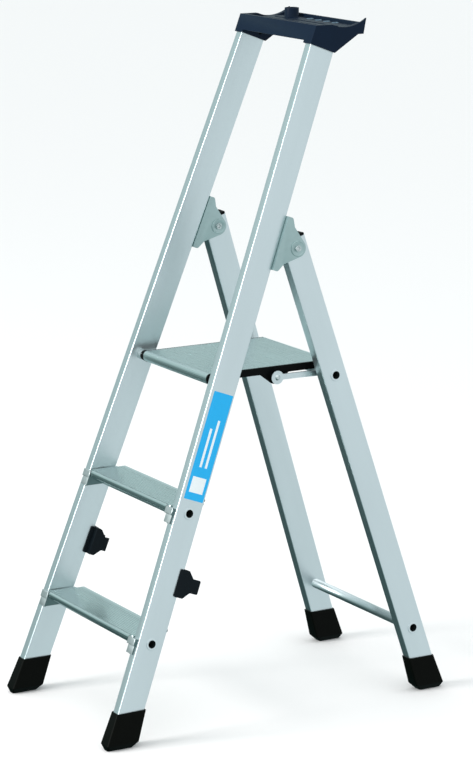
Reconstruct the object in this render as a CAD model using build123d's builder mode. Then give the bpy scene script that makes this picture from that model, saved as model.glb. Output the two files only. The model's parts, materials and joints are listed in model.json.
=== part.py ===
"""Folding platform step ladder: box-section stiles, two treads, a folding platform and a tool tray.

Frame: +X to the right stile, +Y from the climbing side to the rear legs, +Z up. The floor is z = 0
and the origin is the middle of the footprint. Millimetres and degrees.
"""
import os
from math import acos, asin, atan2, cos, degrees, hypot, radians, sin, tan

from build123d import *

os.makedirs("parts", exist_ok=True)

# ---------------------------------------------------------------- driving dimensions
BASE_DEPTH = 752.0        # front face of the stiles to back face of the rear legs, at the floor
STILE_LEAN = 20.58        # stiles lean back from upright
STILE_SPLAY = 3.02        # each stile leans inwards along its length
STILE_HALF_WIDTH = 208.1  # outer face of a stile to the middle, at the floor
STILE_T = 20.5            # stile section, across the ladder
STILE_D = 52.6            # stile section, front to back
STILE_BELOW_TRAY = 11.4   # top ends of the stiles below the tray's top
LEG_SPLAY = 2.28
LEG_BESIDE = 3.6          # rear leg's outer face outside the stile's, at the hinge
LEG_T = 23.0
LEG_D = 50.7
WALL = 1.8                # wall of both box sections
EDGE_R = 2.2              # outer corner radius of both box sections
INNER_EDGE_R = 0.6
FOOT_GAP = 9.0            # rubber under the ends of the tubes

FIRST_TREAD = 203.0       # height of the lowest tread
TREAD_PITCH = 235.0
TREAD_COUNT = 2
TREAD_DEPTH = 78.5
TREAD_NOSE_LEAD = 6.5     # nose ahead of the stile's front face, at the top of the tread
TREAD_NOSE_H = 13.0
TREAD_NOSE_D = 9.0
TREAD_NOSE_SHORT = 14.0   # nose ends inside the stile's inner face, against the bracket's cap
TREAD_NOSE_R = 4.5
TREAD_PLATE = 2.6
TREAD_SKIRT_H = 25.0      # webs either side of the tube
TREAD_REAR_LIP = 10.0
TREAD_WEB = 2.2
BRACKET_PLATE_T = 3.0     # end plates under the treads
BRACKET_PLATE_H = 30.0
BRACKET_TAB_IN = 10.0     # front tab inboard and outboard of the stile's inner face
BRACKET_TAB_OUT = 12.0
CAP_OUT = 13.0            # cap over the nose's end, outboard of the stile's inner face
CAP_R = 2.0
TREAD_RIVET_UP = 6.0      # rivet in the stile's back wall, above the tread's top
TREAD_RIVET_IN = 6.5      # and inside the stile's outer face
RIB_PITCH = 5.2
RIB_GROOVE = 1.5
RIB_DEPTH = 0.8

TUBE_R = 9.5              # cross tubes of treads and rear frame
TUBE_WALL = 1.75
FLANGE_LIP = 2.1
FLANGE_T = 1.0
TREAD_TUBE_GAP = 1.4      # tube below the tread's plate
TREAD_TUBE_D = 27.9       # tube axis behind the stile's front face
LEG_TUBE_D = 23.4         # tube axis ahead of the rear leg's back face
LOWER_TUBE_Z = 129.5
UPPER_TUBE_DROP = 20.9    # upper tube's axis below the platform's top

PLATFORM_STEP = 231.5     # platform above the highest tread
PLATFORM_GAP = 24.7       # side of the platform to the stile's inner face, at the pivot
PLATFORM_PAST_TUBE = 15.0 # rear edge behind the upper cross tube's axis
PLATFORM_NOSE_H = 21.0
PLATFORM_NOSE_R = 9.0
PLATFORM_PIVOT_D = 23.5   # pivot behind the stile's front face
PLATFORM_PIVOT_DROP = 11.5
PLATFORM_SIDE_T = 3.8
PLATFORM_SIDE_H = 14.0
PLATFORM_PIN_R = 4.0
BUSH_R = 10.0
LINK_PIVOT_BACK = 136.0   # link pivot behind the platform pivot
LINK_PIVOT_DROP = 20.0    # link pivot below the platform's top
LINK_T = 4.0
LINK_W = 10.5
LINK_EYE_WALL = 5.0
LINK_GAP = 5.7            # link outside the platform's side
LINK_HEAD_R = 8.0
LINK_WASHER_R = 13.0
LINK_SPACER_R = 7.0
LINK_RIVET_HEAD_R = 5.5
COLLAR_WALL = 3.0         # collars on the upper cross tube, either side of each link
COLLAR_L = 3.0

HINGE_A = 993.6           # hinge pin along the stile
FOLD_GAP = 12.7           # folded rear leg behind the stile's back face
HINGE_FROM_LEG_BACK = 24.0
LEG_ABOVE_HINGE = 24.0
HINGE_PIN_R = 5.0
HINGE_BUSH_WALL = 2.0
HINGE_BOSS_R = 17.5
HINGE_HEAD_R = 6.5
HINGE_HEAD_H = 2.6
BRACKET_BELOW = 53.1      # bracket along the stile, below and above the hinge pin
BRACKET_ABOVE = 50.9
BRACKET_FOOT = 11.0       # cheek's depth at its ends and at its shoulders
BRACKET_SHOULDER = 20.0
BRACKET_SLOPE_LOW = 17.0  # ends to shoulders, along the stile
BRACKET_SLOPE_HIGH = 15.5
BRACKET_T = 2.4
BRACKET_END_R = 5.0       # rounding of the ends of the bracket's cheeks

CLIP_LOW_A = 308.5
CLIP_H = 53.5
CLIP_LAP = 8.6            # clip cheeks lap over the sides of the stile
CLIP_BODY = 10.5          # full height, behind the stile's back face
CLIP_NECK = 23.0
CLIP_REACH = 40.0         # ends of the jaws behind the stile's back face
CLIP_JAW_H = 27.0
CLIP_INNER_JAW = 3.4
CLIP_INNER_SHORT = 7.0    # inner jaw shorter than the outer one
CLIP_CHEEK = 2.2
CLIP_CORNER_R = 3.0

BOOT_H = 68.0
BOOT_TOP_WALL = 2.4
BOOT_FLARE = 5.0
BOOT_CHAMFER = 11.0       # height of the slope round the sole
BOOT_SOLE_IN = 7.5        # sole inside the boot's widest outline
BOOT_CORNER_R = 3.5

LABEL_ABOVE_TREAD = 22.0  # along the stile, above the highest tread
LABEL_L = 206.5
LABEL_INSET = 6.8
LABEL_W = 42.7
LABEL_T = 0.3
LABEL_CORNER_R = 1.5

TRAY_TOP = 1308.0
TRAY_WALL = 2.6
TRAY_DECK_T = 3.5
TRAY_DEPTH = 105.0        # rear rim behind the stiles' front faces, at the top
TRAY_SOCKET_L = 24.0      # tray sockets down the stiles
TRAY_FRONT_L = 19.0
TRAY_SOCKET_BACK = 1.5
TRAY_REAR_WALL = 20.5
TRAY_REAR_LEAN = 4.0      # foot of the rear wall ahead of its top
TRAY_HEEL = 15.7          # brace meets the foot of the rear wall, ahead of its top
TRAY_RIM = 6.0            # rims at the front and rear of the sunk deck
TRAY_SIDE_RIM = 11.0
TRAY_RECESS = 6.0
TRAY_RIB_T = 2.0
TRAY_HOOK_H = 11.7        # hook at each rear corner
TRAY_HOOK_W = 4.5
TRAY_HOOK_L = 16.0
TRAY_HOOK_TIP = 3.0       # its tip, ahead of and behind the rear wall's top
TRAY_HOOK_BACK = 2.4
SCOOP_DEPTH = 6.0         # hand scoops in the tray's side rims
SCOOP_HALF = 30.0
SCOOP_IN = 12.0
SCOOP_FROM_REAR = 44.0
CUP_X = -86.0
CUP_FROM_REAR = 24.0
CUP_R = 13.5
CUP_BORE_R = 10.5
CUP_H = 12.0              # above the tray's top
TOOL_HOLE_R = 5.5
TOOL_HOLE_PITCH = 30.0
TOOL_HOLE_COUNT = 4
TOOL_HOLE_FROM_REAR = 17.0

SHANK_R = 2.0             # rivets and screws
SHANK_L = 6.0
CROWN = 0.55              # top of a tapered head, as a share of its width
SCREW_PLACES = (0.3, 0.7) # tray screws across the depth of the stile
TREAD_RIVET_HEAD_R = 4.5
TREAD_RIVET_HEAD_H = 3.5
WEB_RIVET_INSET = 14.0    # from the ends of the hinge bracket
SMALL_HEAD_R = 4.5
SMALL_HEAD_H = 2.4
WASHER_R = 15.0
WASHER_T = 1.4
PIVOT_IN = 25.0           # platform pivot pin inside the platform's nose
PIVOT_HEAD_R = 7.0
PIVOT_HEAD_T = 2.0
DECK_T = 3.0
DECK_WEB_T = 2.2
DECK_WEB_H = 12.0
DECK_WEB_PLACES = (0.36, 0.58, 0.8, 1.0)
SIDE_BELOW_TOP = 0.3      # top edge of the side plates below the deck
LOBE_R = 14.0             # side plate round the link pivot
LOBE_SPREAD = 31.0
PLUG_T = 5.0              # caps in the top ends of the rear legs
PLUG_SPIGOT = 9.0

# ---------------------------------------------------------------- clearances
FIT = 0.05                # pin in a bore, radial
LOOSE = 0.15              # fixed piece round another
SWING = 1.5               # moving frame past a fixed piece
AIR = 0.4                 # faces that pass each other

# ---------------------------------------------------------------- derived places
Y_FRONT = -BASE_DEPTH / 2
S = sin(radians(STILE_LEAN))
C = cos(radians(STILE_LEAN))
STILE_SLOPE = tan(radians(STILE_SPLAY))
LEG_SLOPE = tan(radians(LEG_SPLAY))


def on_stile(a, d):
    """World y and z of a point a along the stile and d behind its front face."""
    return Y_FRONT + a * S + d * C, a * C - d * S


def stile_front_y(z):
    """World y of the stiles' front faces at a height."""
    return Y_FRONT + z * tan(radians(STILE_LEAN))


HINGE_D = STILE_D + FOLD_GAP + LEG_D - HINGE_FROM_LEG_BACK
HINGE_Y, HINGE_Z = on_stile(HINGE_A, HINGE_D)
foot_run = BASE_DEPTH / 2 - HINGE_Y
LEG_LEAN = degrees(atan2(foot_run, HINGE_Z) - asin(HINGE_FROM_LEG_BACK / hypot(foot_run, HINGE_Z)))
LS = sin(radians(LEG_LEAN))
LC = cos(radians(LEG_LEAN))
HINGE_LEG_A = foot_run * LS + HINGE_Z * LC


def on_leg(z, depth):
    """World y of a point at height z and a depth ahead of the rear leg's back face."""
    return BASE_DEPTH / 2 - z * LS / LC - depth / LC


def side_plane(half_width, slope):
    """Plane of a splayed side face beside the stile: local x is depth, local y is along."""
    return Plane(origin=(half_width, Y_FRONT, 0), x_dir=(0, C, -S), z_dir=(1, slope * S, slope * C))


def leg_side_plane(half_width, slope):
    """Plane of the rear leg's side face: local x is behind its back face, local y is along."""
    normal = (1, -slope * LS, slope * LC)
    return Plane(origin=(half_width, BASE_DEPTH / 2, 0), x_dir=(0, LC, LS), z_dir=normal)


def section_plane(side):
    """Plane across a member at its foot: local x is outwards and local y is behind its face."""
    return Plane(origin=side.origin, x_dir=side.z_dir, z_dir=side.y_dir)


def across(y, z, x=0.0):
    """Plane facing +X at a point of the side view: local x is +Y and local y is +Z."""
    return Plane(origin=(x, y, z), x_dir=(0, 1, 0), z_dir=(1, 0, 0))


def face_x(plane, y, z):
    """The x at which a line along X through y, z meets a plane."""
    normal = plane.z_dir
    origin = plane.origin
    return origin.X - (normal.Y * (y - origin.Y) + normal.Z * (z - origin.Z)) / normal.X


def seat_on(plane, y, z):
    """The same plane, centred where a line along X through y, z meets it."""
    return Plane(origin=(face_x(plane, y, z), y, z), x_dir=plane.x_dir, z_dir=plane.z_dir)


def tangent_point(centre, radius, point, side):
    """Point where a line from an outside point touches a circle."""
    reach = hypot(point[0] - centre[0], point[1] - centre[1])
    turn = atan2(point[1] - centre[1], point[0] - centre[0]) + side * acos(radius / reach)
    return centre[0] + radius * cos(turn), centre[1] + radius * sin(turn)


STILE_OUTER = side_plane(STILE_HALF_WIDTH, STILE_SLOPE)
STILE_INNER = STILE_OUTER.offset(-STILE_T)
STILE_SECTION = section_plane(STILE_OUTER)
STILE_END = (TRAY_TOP - STILE_BELOW_TRAY) / C
FRONT_FACE = Plane(origin=(0, Y_FRONT, 0), x_dir=(1, 0, 0), z_dir=(0, -C, S))

LEG_OUTER_X = face_x(STILE_OUTER, HINGE_Y, HINGE_Z) + LEG_BESIDE
LEG_OUTER = leg_side_plane(LEG_OUTER_X + LEG_SLOPE * HINGE_LEG_A, LEG_SLOPE)
LEG_INNER = LEG_OUTER.offset(-LEG_T)
LEG_SECTION = section_plane(LEG_OUTER)
LEG_INNER_X = face_x(LEG_INNER, HINGE_Y, HINGE_Z)
leg_corner_reach = hypot(LEG_ABOVE_HINGE, LEG_D - HINGE_FROM_LEG_BACK)
BRACKET_SIDE_GAP = LOOSE + LEG_SLOPE * (S + LS) * leg_corner_reach

TREAD_TOPS = [FIRST_TREAD + i * TREAD_PITCH for i in range(TREAD_COUNT)]
TREAD_TUBE_DROP = TREAD_PLATE + TREAD_TUBE_GAP + TUBE_R
PLATFORM_TOP = TREAD_TOPS[-1] + PLATFORM_STEP
PIVOT_Z = PLATFORM_TOP - PLATFORM_PIVOT_DROP
PIVOT_Y = stile_front_y(PIVOT_Z) + PLATFORM_PIVOT_D / C
PIVOT_FACE_X = face_x(STILE_INNER, PIVOT_Y, PIVOT_Z)
PLATFORM_FRONT = PIVOT_Y - PLATFORM_PIVOT_DROP
PLATFORM_HALF = PIVOT_FACE_X - PLATFORM_GAP
UPPER_TUBE_Z = PLATFORM_TOP - UPPER_TUBE_DROP
UPPER_TUBE_Y = on_leg(UPPER_TUBE_Z, LEG_TUBE_D)
LOWER_TUBE_Y = on_leg(LOWER_TUBE_Z, LEG_TUBE_D)
PLATFORM_REAR = UPPER_TUBE_Y + PLATFORM_PAST_TUBE
LINK_Y = PIVOT_Y + LINK_PIVOT_BACK
LINK_Z = PLATFORM_TOP - LINK_PIVOT_DROP
LINK_INNER_X = PLATFORM_HALF + LINK_GAP
LINK_OUTER_X = LINK_INNER_X + LINK_T


def back_face_seat(a, inset=STILE_T / 2):
    """Plane facing backwards on the stile's back face, a along it and inside its outer face."""
    y, z = on_stile(a, STILE_D)
    x = face_x(STILE_OUTER.offset(-inset), y, z)
    return Plane(origin=(x, y, z), x_dir=(1, 0, 0), z_dir=(0, C, -S))


def tread_tube_place(top):
    """World y and z of the tube under a tread."""
    z = top - TREAD_TUBE_DROP
    return stile_front_y(z) + TREAD_TUBE_D / C, z


TREAD_RIVETS = [back_face_seat((top + TREAD_RIVET_UP + STILE_D * S) / C, TREAD_RIVET_IN)
                for top in TREAD_TOPS]
BRACKET_LOW_A = HINGE_A - BRACKET_BELOW
BRACKET_HIGH_A = HINGE_A + BRACKET_ABOVE
WEB_RIVETS = [back_face_seat(a) for a in (BRACKET_LOW_A + WEB_RIVET_INSET, BRACKET_HIGH_A - WEB_RIVET_INSET)]

TRAY_SOCKET_A = STILE_END - TRAY_SOCKET_L
TRAY_HALF = face_x(STILE_OUTER, *on_stile(TRAY_SOCKET_A, 0)) + LOOSE + TRAY_WALL
CHEEK_X = face_x(STILE_INNER, *on_stile(STILE_END, STILE_D)) - LOOSE - TRAY_WALL
TRAY_FRONT_Y = stile_front_y(TRAY_TOP) - TRAY_WALL / C
TRAY_REAR_Y = stile_front_y(TRAY_TOP) + TRAY_DEPTH
SCREW_A = STILE_END - TRAY_SOCKET_L / 2
TRAY_SCREWS = [Plane(origin=(CHEEK_X, *on_stile(SCREW_A, d)), x_dir=(0, 1, 0), z_dir=(-1, 0, 0))
               for d in (STILE_D * place for place in SCREW_PLACES)]


# ---------------------------------------------------------------- shared shapes
def mirrored(source):
    """The same piece on the left side."""
    with BuildPart() as twin:
        mirror(source.part, about=Plane.YZ)
    return twin


def corner_rectangle(x0, x1, y0, y1, mode=Mode.ADD):
    """Rectangle between two corners, in the open sketch."""
    with Locations(((x0 + x1) / 2, (y0 + y1) / 2)):
        Rectangle(abs(x1 - x0), abs(y1 - y0), mode=mode)


def box_section(plane, width, depth, sign, length):
    """Hollow box section with rounded corners, along a member, in the open part."""
    with BuildSketch(plane) as section:
        with Locations((-width / 2, sign * depth / 2)):
            RectangleRounded(width, depth, EDGE_R)
            RectangleRounded(width - 2 * WALL, depth - 2 * WALL, INNER_EDGE_R, mode=Mode.SUBTRACT)
    extrude(section.sketch, amount=length)


def cross_bore(y, z, radius):
    """Hole along X through a right-hand member, in the open part."""
    with BuildSketch(across(y, z)) as bore:
        Circle(radius)
    extrude(bore.sketch, amount=2 * STILE_HALF_WIDTH, mode=Mode.SUBTRACT)


def headed_pin(plane, head_r, head_h, shank_r, shank_l):
    """Tapered head above a plane and its shank below, in the open part."""
    with BuildSketch(plane) as head:
        Circle(head_r)
    with BuildSketch(plane.offset(head_h)) as crown:
        Circle(head_r * CROWN)
    loft([*head.sketch.faces(), *crown.sketch.faces()])
    with BuildSketch(plane) as shank:
        Circle(shank_r)
    extrude(shank.sketch, amount=-shank_l)


def pin_hole(plane, depth):
    """Hole for a rivet or screw below a plane, in the open part."""
    with BuildSketch(plane) as hole:
        Circle(SHANK_R + FIT)
    extrude(hole.sketch, amount=-depth, mode=Mode.SUBTRACT)


def grooves(start, end):
    """Anti-slip grooves between two depths of the open side view, whose top is at local y = 0."""
    count = int((end - start) / RIB_PITCH)
    with Locations(*((start + (i + 0.5) * RIB_PITCH, 0) for i in range(count))):
        Rectangle(RIB_GROOVE, 2 * RIB_DEPTH, mode=Mode.SUBTRACT)


def flanged_tube(y, z, outer_face):
    """Cross tube with its ends spread over the outer faces of the members."""
    seat = seat_on(outer_face, y, z)
    with BuildPart() as tube:
        with BuildSketch(across(y, z)):
            Circle(TUBE_R)
        extrude(amount=seat.origin.X + TUBE_R)
        split(bisect_by=outer_face.offset(FLANGE_T), keep=Keep.BOTTOM)
        with BuildSketch(seat):
            Circle(TUBE_R + FLANGE_LIP)
        lip = extrude(amount=FLANGE_T)
        fillet(lip.edges().group_by(Axis.X)[-1], FLANGE_T * 0.6)
        with BuildSketch(across(y, z)):
            Circle(TUBE_R - TUBE_WALL)
        extrude(amount=seat.origin.X + 2 * TUBE_R, mode=Mode.SUBTRACT)
        mirror(about=Plane.YZ)
    return tube


# ---------------------------------------------------------------- front frame: stiles
with BuildPart() as stile_right:
    box_section(STILE_SECTION, STILE_T, STILE_D, 1, STILE_END)
    split(bisect_by=Plane.XY.offset(FOOT_GAP), keep=Keep.TOP)
    for tread_top in TREAD_TOPS:
        cross_bore(*tread_tube_place(tread_top), TUBE_R + FIT)
    for rivet_place in TREAD_RIVETS + WEB_RIVETS:
        pin_hole(rivet_place, 2 * WALL)
    for screw_place in TRAY_SCREWS:
        pin_hole(screw_place, SHANK_L + WALL)
    with BuildSketch(across(PIVOT_Y, PIVOT_Z)):
        Circle(PLATFORM_PIN_R + FIT)
    extrude(amount=PIVOT_FACE_X + 2 * WALL, mode=Mode.SUBTRACT)
stile_left = mirrored(stile_right)


# ---------------------------------------------------------------- front frame: treads
def tread(top):
    """Grooved tread with its nose ahead of the stiles and its rear corners notched."""
    front = stile_front_y(top) - TREAD_NOSE_LEAD
    reach = face_x(STILE_INNER, front, top)
    tube_y = tread_tube_place(top)[0]
    rear_a = (front + TREAD_DEPTH - Y_FRONT) * S + top * C
    folded_leg_x = LEG_INNER_X + (HINGE_A - rear_a) * LEG_SLOPE
    notch = folded_leg_x - SWING - face_x(STILE_OUTER, *on_stile(rear_a, STILE_D))
    with BuildPart() as piece:
        with BuildSketch(across(front, top)):
            corner_rectangle(0, TREAD_DEPTH, -TREAD_PLATE, 0)
            corner_rectangle(0, TREAD_NOSE_D, -TREAD_NOSE_H, 0)
            corner_rectangle(TREAD_DEPTH - TREAD_PLATE, TREAD_DEPTH, -TREAD_REAR_LIP, 0)
            fillet(vertices().group_by(Axis.X)[0], TREAD_NOSE_R)
            for side in (-1, 1):
                web = tube_y - front + side * (TUBE_R + LOOSE + TREAD_WEB / 2)
                corner_rectangle(web - TREAD_WEB / 2, web + TREAD_WEB / 2, -TREAD_SKIRT_H, -TREAD_PLATE)
            grooves(TREAD_NOSE_R, TREAD_DEPTH - TREAD_PLATE)
        extrude(amount=reach)
        with BuildSketch(STILE_SECTION):
            corner_rectangle(-STILE_T - BRACKET_PLATE_T - LOOSE, STILE_T, -LOOSE, TREAD_DEPTH * 2)
            corner_rectangle(notch, STILE_T, STILE_D - LOOSE, TREAD_DEPTH * 2)
        extrude(amount=STILE_END, mode=Mode.SUBTRACT)
        with BuildSketch(FRONT_FACE):
            corner_rectangle(reach - TREAD_NOSE_SHORT, reach * 2, 0, STILE_END)
        extrude(amount=TREAD_DEPTH, mode=Mode.SUBTRACT)
        mirror(about=Plane.YZ)
    return piece


def end_brackets(top):
    """Plate against each stile's inner face, a tab round its front corner and a cap on the nose's end."""
    low = top - BRACKET_PLATE_H
    high = top - TREAD_PLATE
    cap_t = TREAD_NOSE_LEAD * C
    cap_high = (top - cap_t * S) / C
    cap_low = cap_high - TREAD_NOSE_H / C
    cap_in = TREAD_NOSE_SHORT - LOOSE
    inner_x = face_x(STILE_INNER, stile_front_y(low), low)
    back = STILE_D - BRACKET_PLATE_T
    with BuildPart() as pair:
        with BuildSketch(STILE_INNER):
            with BuildLine():
                Polyline((0, low / C), (back, (low + back * S) / C), (back, (high + back * S) / C),
                         (0, high / C), close=True)
            make_face()
        extrude(amount=-BRACKET_PLATE_T)
        with BuildSketch(FRONT_FACE):
            corner_rectangle(inner_x - BRACKET_TAB_IN, inner_x + BRACKET_TAB_OUT, low / C, cap_low)
        extrude(amount=BRACKET_PLATE_T)
        with BuildSketch(FRONT_FACE):
            corner_rectangle(inner_x - cap_in, inner_x + CAP_OUT, cap_low, cap_high)
        cap = extrude(amount=cap_t)
        fillet(cap.faces().sort_by(Axis.Y)[0].edges(), CAP_R)
        cross_bore(*tread_tube_place(top), TUBE_R + LOOSE)
        mirror(about=Plane.YZ)
    return pair


tread_lower, tread_upper = (tread(top) for top in TREAD_TOPS)
tread_brackets_lower, tread_brackets_upper = (end_brackets(top) for top in TREAD_TOPS)
tread_tube_lower, tread_tube_upper = (flanged_tube(*tread_tube_place(top), STILE_OUTER) for top in TREAD_TOPS)

with BuildPart() as tread_rivets:
    for rivet_place in TREAD_RIVETS:
        headed_pin(rivet_place, TREAD_RIVET_HEAD_R, TREAD_RIVET_HEAD_H, SHANK_R, SHANK_L)
    mirror(about=Plane.YZ)

# ---------------------------------------------------------------- front frame: hinge brackets
BRACKET_PLANE = side_plane(LEG_INNER_X - BRACKET_SIDE_GAP - BRACKET_T + HINGE_A * LEG_SLOPE, LEG_SLOPE)
BRACKET_WIDTH = (LEG_OUTER_X - LEG_INNER_X + 2 * BRACKET_SIDE_GAP) * cos(radians(LEG_SPLAY)) + 2 * BRACKET_T
OUTER_SEAT = seat_on(BRACKET_PLANE.offset(BRACKET_WIDTH), HINGE_Y, HINGE_Z)
INNER_SEAT = seat_on(BRACKET_PLANE, HINGE_Y, HINGE_Z)


def bracket_cheek():
    """Side outline of the hinge bracket: a foot on the stile drawn out to a boss round the pin."""
    boss = (HINGE_D, HINGE_A)
    low = (STILE_D + BRACKET_SHOULDER, BRACKET_LOW_A + BRACKET_SLOPE_LOW)
    high = (STILE_D + BRACKET_SHOULDER, BRACKET_HIGH_A - BRACKET_SLOPE_HIGH)
    foot = STILE_D + BRACKET_FOOT
    with BuildLine() as outline:
        Polyline((STILE_D, BRACKET_LOW_A), (foot, BRACKET_LOW_A), low,
                 tangent_point(boss, HINGE_BOSS_R, low, 1), tangent_point(boss, HINGE_BOSS_R, high, -1),
                 high, (foot, BRACKET_HIGH_A), (STILE_D, BRACKET_HIGH_A), close=True)
    make_face(outline.edges())
    fillet(vertices().group_by(Axis.X)[1], BRACKET_END_R)
    with Locations(boss):
        Circle(HINGE_BOSS_R)


with BuildPart() as hinge_bracket_right:
    with BuildSketch(BRACKET_PLANE):
        bracket_cheek()
    extrude(amount=BRACKET_WIDTH)
    with BuildSketch(BRACKET_PLANE.offset(BRACKET_T)):
        corner_rectangle(STILE_D + BRACKET_T, HINGE_D + 2 * HINGE_BOSS_R, 0, STILE_END)
    extrude(amount=BRACKET_WIDTH - 2 * BRACKET_T, mode=Mode.SUBTRACT)
    cross_bore(HINGE_Y, HINGE_Z, HINGE_PIN_R)
    for rivet_place in WEB_RIVETS:
        pin_hole(rivet_place.offset(BRACKET_T), 2 * BRACKET_T)
hinge_bracket_left = mirrored(hinge_bracket_right)

with BuildPart() as hinge_bracket_rivets:
    for rivet_place in WEB_RIVETS:
        headed_pin(rivet_place.offset(BRACKET_T), SMALL_HEAD_R, SMALL_HEAD_H, SHANK_R, SHANK_L)
    mirror(about=Plane.YZ)

with BuildPart() as hinge_washers:
    with BuildSketch(OUTER_SEAT):
        Circle(WASHER_R)
    extrude(amount=WASHER_T)
    with BuildSketch(INNER_SEAT):
        Circle(WASHER_R)
    extrude(amount=-WASHER_T)
    cross_bore(HINGE_Y, HINGE_Z, HINGE_PIN_R + FIT)
    mirror(about=Plane.YZ)

with BuildPart() as hinge_pin_right:
    with BuildSketch(across(HINGE_Y, HINGE_Z, INNER_SEAT.origin.X - WASHER_T)):
        Circle(HINGE_PIN_R)
    extrude(amount=OUTER_SEAT.origin.X - INNER_SEAT.origin.X + 2 * WASHER_T)
    with BuildSketch(OUTER_SEAT.offset(WASHER_T)):
        Circle(HINGE_HEAD_R)
    outer_head = extrude(amount=HINGE_HEAD_H)
    fillet(outer_head.edges().group_by(Axis.X)[-1], HINGE_HEAD_H * 0.6)
    with BuildSketch(INNER_SEAT.offset(-WASHER_T)):
        Circle(HINGE_HEAD_R)
    extrude(amount=-HINGE_HEAD_H)
hinge_pin_left = mirrored(hinge_pin_right)

# ---------------------------------------------------------------- front frame: transport clips
CLIP_A = CLIP_LOW_A + CLIP_H / 2
clip_face_x = face_x(STILE_OUTER, *on_stile(CLIP_A, STILE_D)) - (HINGE_A - CLIP_A) * LEG_SLOPE
CLIP_LEG_OUT = LEG_OUTER_X + SWING - clip_face_x
CLIP_LEG_IN = LEG_INNER_X - SWING - clip_face_x
JAW_LOW_A = CLIP_A - CLIP_JAW_H / 2
JAW_HIGH_A = CLIP_A + CLIP_JAW_H / 2
JAW_END_D = STILE_D + CLIP_REACH
CLIP_HIGH_A = CLIP_LOW_A + CLIP_H

with BuildPart() as transport_clip_right:
    with BuildSketch(STILE_OUTER.offset(CLIP_CHEEK)):
        with BuildLine():
            Polyline((STILE_D - CLIP_LAP, CLIP_LOW_A), (STILE_D + CLIP_BODY, CLIP_LOW_A),
                     (STILE_D + CLIP_NECK, JAW_LOW_A), (JAW_END_D, JAW_LOW_A), (JAW_END_D, JAW_HIGH_A),
                     (STILE_D + CLIP_NECK, JAW_HIGH_A), (STILE_D + CLIP_BODY, CLIP_HIGH_A),
                     (STILE_D - CLIP_LAP, CLIP_HIGH_A), close=True)
        make_face()
        fillet(vertices(), CLIP_CORNER_R)
    extrude(amount=CLIP_LEG_IN - CLIP_INNER_JAW - CLIP_CHEEK)
    with BuildSketch(STILE_SECTION):
        corner_rectangle(-STILE_T - LOOSE, LOOSE, 0, STILE_D + LOOSE)
        corner_rectangle(-STILE_T * 3, -STILE_T - CLIP_CHEEK, 0, STILE_D + LOOSE)
        corner_rectangle(CLIP_LEG_IN, CLIP_LEG_OUT, STILE_D + FOLD_GAP - SWING, HINGE_D * 2)
        corner_rectangle(-STILE_T * 3, CLIP_LEG_IN, JAW_END_D - CLIP_INNER_SHORT, HINGE_D * 2)
    extrude(amount=STILE_END, mode=Mode.SUBTRACT)
transport_clip_left = mirrored(transport_clip_right)

# ---------------------------------------------------------------- front frame: label
LABEL_LOW_A = TREAD_TOPS[-1] / C + LABEL_ABOVE_TREAD

with BuildPart() as side_label:
    with BuildSketch(STILE_OUTER):
        corner_rectangle(LABEL_INSET, LABEL_INSET + LABEL_W, LABEL_LOW_A, LABEL_LOW_A + LABEL_L)
        fillet(vertices(), LABEL_CORNER_R)
    extrude(amount=LABEL_T)


# ---------------------------------------------------------------- boots
def boot(outer_face, width, depth, upright, sign, face_y):
    """Rubber boot over the foot of a member, flared towards the floor, with a closed sole."""
    middle_face = outer_face.offset(-width / 2)
    foot_depth = depth / upright
    with BuildPart() as socket:
        with BuildSketch(section_plane(outer_face)):
            with Locations((-width / 2, sign * depth / 2)):
                RectangleRounded(width + 2 * LOOSE, depth + 2 * LOOSE, EDGE_R)
        extrude(amount=3 * BOOT_H, both=True)
        split(bisect_by=Plane.XY.offset(FOOT_GAP), keep=Keep.TOP)
    with BuildPart() as foot:
        for z, grow in ((0, BOOT_FLARE - BOOT_SOLE_IN), (BOOT_CHAMFER, BOOT_FLARE), (BOOT_H, BOOT_TOP_WALL)):
            y = face_y(z) + sign * foot_depth / 2
            with BuildSketch(Plane(origin=(face_x(middle_face, y, z), y, z))):
                RectangleRounded(width + 2 * grow, foot_depth + 2 * grow, BOOT_CORNER_R)
        loft(ruled=True)
        add(socket.part, mode=Mode.SUBTRACT)
    return foot


def leg_back_y(z):
    """World y of the rear legs' back faces at a height."""
    return on_leg(z, 0)


front_boot_right = boot(STILE_OUTER, STILE_T, STILE_D, C, 1, stile_front_y)
front_boot_left = mirrored(front_boot_right)
rear_boot_right = boot(LEG_OUTER, LEG_T, LEG_D, LC, -1, leg_back_y)
rear_boot_left = mirrored(rear_boot_right)

# ---------------------------------------------------------------- front frame: tool tray
DECK_TOP = TRAY_TOP - TRAY_RECESS
DECK_LOW = DECK_TOP - TRAY_DECK_T
WALL_LOW = TRAY_TOP - TRAY_REAR_WALL
CUP_Y = TRAY_REAR_Y - CUP_FROM_REAR
TOOL_HOLES = [((i - 1) * TOOL_HOLE_PITCH, TRAY_REAR_Y - TOOL_HOLE_FROM_REAR) for i in range(TOOL_HOLE_COUNT)]
SCOOP_R = (SCOOP_HALF ** 2 + SCOOP_DEPTH ** 2) / (2 * SCOOP_DEPTH)


def tray_side():
    """Side outline of a stile socket and the brace behind it, in the open sketch."""
    with BuildLine() as outline:
        Polyline(on_stile(TRAY_SOCKET_A, -TRAY_WALL - LOOSE),
                 on_stile(TRAY_SOCKET_A, STILE_D + TRAY_SOCKET_BACK),
                 (TRAY_REAR_Y - TRAY_HEEL, WALL_LOW), (TRAY_REAR_Y - TRAY_REAR_LEAN, WALL_LOW),
                 (TRAY_REAR_Y, TRAY_TOP), (TRAY_FRONT_Y, TRAY_TOP), close=True)
    make_face(outline.edges())


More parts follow.
